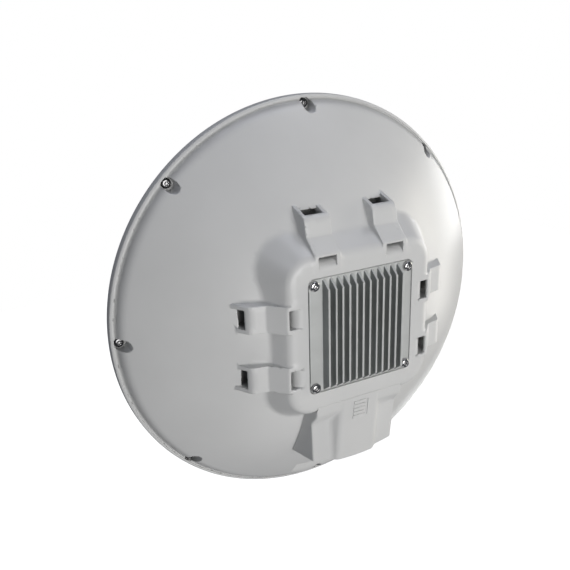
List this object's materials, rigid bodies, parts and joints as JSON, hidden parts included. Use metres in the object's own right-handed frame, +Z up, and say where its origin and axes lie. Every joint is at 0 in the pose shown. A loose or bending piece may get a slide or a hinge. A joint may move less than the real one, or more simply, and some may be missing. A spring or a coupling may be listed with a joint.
{
  "type": "dish antenna",
  "caption": "Closed round dish antenna: a pale plastic bowl with a finned heat sink, strap loops and a sliding port cover, and the radio, reflector and feed inside.",
  "frame": {"origin": "on the dish axis, in the plane of the housing's flat rear face, where a mast or bracket stands behind it", "axes": "+Y to the rear along the dish axis (the antenna looks along -Y), +Z up, +X to the left as seen from behind"},
  "size_m": [0.3, 0.1052, 0.3],
  "materials": {
    "shell": "satin, fine moulded texture",
    "cover": "satin, fine moulded texture",
    "door": "satin, fine moulded texture",
    "sink": "satin, die cast",
    "screw": "bright",
    "gasket": "matt",
    "reflector": "spun sheet",
    "waveguide": "turned",
    "dielectric": "waxy",
    "board": "solder mask",
    "chip": "matt",
    "shield": "tinned sheet",
    "pad": "soft",
    "jack": "satin",
    "contact": "plated",
    "button": "satin"
  },
  "bodies": {
    "body": {"rear_shell": "shell", "strap_bar_slopes": "shell", "strap_bar_tops": "shell", "strap_bar_ends": "shell", "front_cover": "cover", "rim_gasket": "gasket", "rim_screws": "screw", "heat_sink": "sink", "heat_sink_gasket": "gasket", "heat_sink_screws": "screw", "reflector": "reflector", "feed_waveguide": "waveguide", "feed_dielectric": "dielectric", "sub_reflector": "reflector", "feed_screws": "screw", "radio_board": "board", "board_screws": "screw", "radio_chip": "chip", "rf_shield": "shield", "thermal_pad": "pad", "processor": "chip", "lan_transformer": "chip", "power_inductor": "chip", "ethernet_jack": "jack", "jack_contacts": "contact", "reset_switch": "chip"},
    "cover": {"port_cover": "door"},
    "button": {"reset_button": "button"}
  },
  "joints": [
    {"name": "cover_slide", "type": "slide", "parent": "body", "child": "cover", "axis": [0, 0, -1], "range_m": [0, 0.05]},
    {"name": "reset_press", "type": "slide", "parent": "body", "child": "button", "axis": [0, 0, 1], "range_m": [0, 0.0005], "stiffness_N_per_m": 1500, "springref_m": -0.0004}
  ]
}
